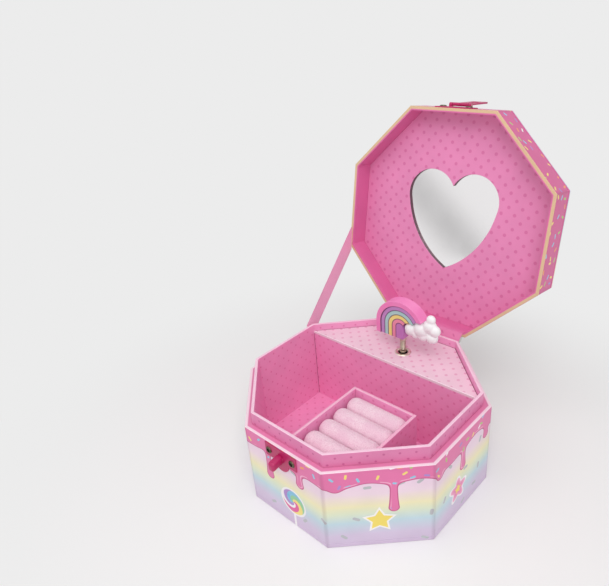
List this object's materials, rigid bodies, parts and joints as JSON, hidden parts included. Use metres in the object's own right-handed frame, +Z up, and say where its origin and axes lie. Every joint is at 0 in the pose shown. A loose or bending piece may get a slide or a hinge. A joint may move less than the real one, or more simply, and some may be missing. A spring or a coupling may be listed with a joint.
{
  "type": "musical jewellery box",
  "caption": "Octagonal musical jewellery box with a hinged mirror lid, ring tray, snap clasp, winding key and a turning rainbow figure on a sprung post.",
  "frame": {"origin": "centre of the underside of the case", "axes": "+Z up, clasp side towards -Y, hinge side towards +Y, +X to the right seen from the clasp side"},
  "size_m": [0.16, 0.2363, 0.2313],
  "materials": {
    "bottom_panel": "paper over fibreboard",
    "base_walls": "printed paper over fibreboard, satin",
    "neck_liner": "dotted paper over fibreboard",
    "floor_board": "dotted paper over fibreboard",
    "divider": "dotted paper over fibreboard",
    "music_deck": "dotted paper over fibreboard",
    "tray_left_wall": "paper over fibreboard",
    "tray_right_wall": "paper over fibreboard",
    "tray_back_wall": "paper over fibreboard",
    "lid_rim": "bare board edge",
    "lid_walls": "printed paper over fibreboard, satin",
    "lid_top_panel": "printed paper over fibreboard, satin",
    "window_backing": "printed paper over board",
    "lid_liner": "dotted paper over fibreboard",
    "lid_plaque": "printed paper over board, gloss",
    "ring_plush": "short plush over foam",
    "ribbon": "satin ribbon",
    "hinge_steel": "plain steel",
    "clasp_plastic": "translucent magenta plastic, gloss",
    "rivet_metal": "blackened steel",
    "post_brass": "dull plated brass",
    "movement_steel": "plain steel",
    "movement_plastic": "moulded plastic",
    "key_metal": "bright plated steel",
    "rainbow_pink": "painted vinyl",
    "rainbow_lilac": "painted vinyl",
    "rainbow_blue": "painted vinyl",
    "rainbow_yellow": "painted vinyl",
    "rainbow_coral": "painted vinyl",
    "rainbow_purple": "painted vinyl",
    "cloud_white": "moulded vinyl",
    "mirror": "silvered plastic",
    "pane": "clear plastic",
    "sprinkle_pink": "gloss",
    "sprinkle_yellow": "gloss",
    "sprinkle_blue": "gloss",
    "sprinkle_lilac": "gloss"
  },
  "bodies": {
    "case": {"bottom_panel": "bottom_panel", "base_walls": "base_walls", "neck_liner": "neck_liner", "floor_board": "floor_board", "divider": "divider", "music_deck": "music_deck", "deck_eyelet": "post_brass", "tray_left_wall": "tray_left_wall", "tray_right_wall": "tray_right_wall", "tray_back_wall": "tray_back_wall", "tray_plinth": "ring_plush", "ring_roll_1": "ring_plush", "ring_roll_2": "ring_plush", "ring_roll_3": "ring_plush", "ring_roll_4": "ring_plush", "ring_roll_5": "ring_plush", "movement_bed": "movement_steel", "movement_case": "movement_plastic", "hinge_base_leaf_left": "hinge_steel", "hinge_base_leaf_right": "hinge_steel", "hinge_pin_left": "hinge_steel", "hinge_pin_right": "hinge_steel", "clasp_base_plate": "clasp_plastic", "base_rivet_left": "rivet_metal", "base_rivet_right": "rivet_metal", "lid_ribbon": "ribbon"},
    "lid": {"lid_rim": "lid_rim", "lid_walls": "lid_walls", "lid_top_panel": "lid_top_panel", "window_backing": "window_backing", "window_pane": "pane", "lid_liner": "lid_liner", "heart_mirror": "mirror", "lid_plaque": "lid_plaque", "hinge_lid_leaf_left": "hinge_steel", "hinge_lid_leaf_right": "hinge_steel", "clasp_lid_plate": "clasp_plastic", "hasp_pin": "rivet_metal", "lid_rivet_left": "rivet_metal", "lid_rivet_right": "rivet_metal"},
    "hasp": {"clasp_hasp": "clasp_plastic"},
    "sprinkles": {"sprinkle_1": "sprinkle_pink", "sprinkle_2": "sprinkle_yellow", "sprinkle_3": "sprinkle_blue", "sprinkle_4": "sprinkle_lilac"},
    "spindle": {"spindle": "post_brass", "post_spring": "post_brass"},
    "figure_carrier": {"post_ferrule": "post_brass"},
    "figure": {"rainbow_rim": "rainbow_pink", "rainbow_band_1": "rainbow_lilac", "rainbow_band_2": "rainbow_blue", "rainbow_band_3": "rainbow_yellow", "rainbow_band_4": "rainbow_coral", "rainbow_centre": "rainbow_purple", "cloud": "cloud_white"},
    "winding_key": {"key_stem": "key_metal", "key_wing": "key_metal"}
  },
  "joints": [
    {"name": "lid_hinge", "type": "hinge", "parent": "case", "child": "lid", "pos_m": [0, 0.0845, 0.067], "axis": [1, 0, 0], "range_deg": [0, 100], "deforming": ["lid_ribbon"]},
    {"name": "hasp_hinge", "type": "hinge", "parent": "lid", "child": "hasp", "pos_m": [0, 0.12036, 0.23005], "axis": [1, 0, 0], "range_deg": [0, 177]},
    {"name": "sprinkle_shake", "type": "slide", "parent": "lid", "child": "sprinkles", "axis": [0, 0.1736, 0.9848], "range_m": [0, 0.012]},
    {"name": "figure_fold", "type": "hinge", "parent": "case", "child": "figure_carrier", "pos_m": [0.002, 0.0465, 0.0722], "axis": [1, 0, 0], "range_deg": [0, 90], "deforming": ["post_spring"]},
    {"name": "figure_spin", "type": "hinge", "parent": "figure_carrier", "child": "figure", "pos_m": [0.002, 0.0465, 0.0795], "axis": [0, 0, 1], "continuous": true},
    {"name": "spindle_spin", "type": "hinge", "parent": "case", "child": "spindle", "pos_m": [0.002, 0.0465, 0.066], "axis": [0, 0, 1], "continuous": true},
    {"name": "key_turn", "type": "hinge", "parent": "case", "child": "winding_key", "pos_m": [0.002, 0.08, 0.03], "axis": [0, 1, 0], "continuous": true}
  ],
  "couplings": [
    {"joint": "figure_fold", "follows": "lid_hinge", "ratio": 0.9},
    {"joint": "spindle_spin", "follows": "figure_spin", "ratio": 1}
  ]
}
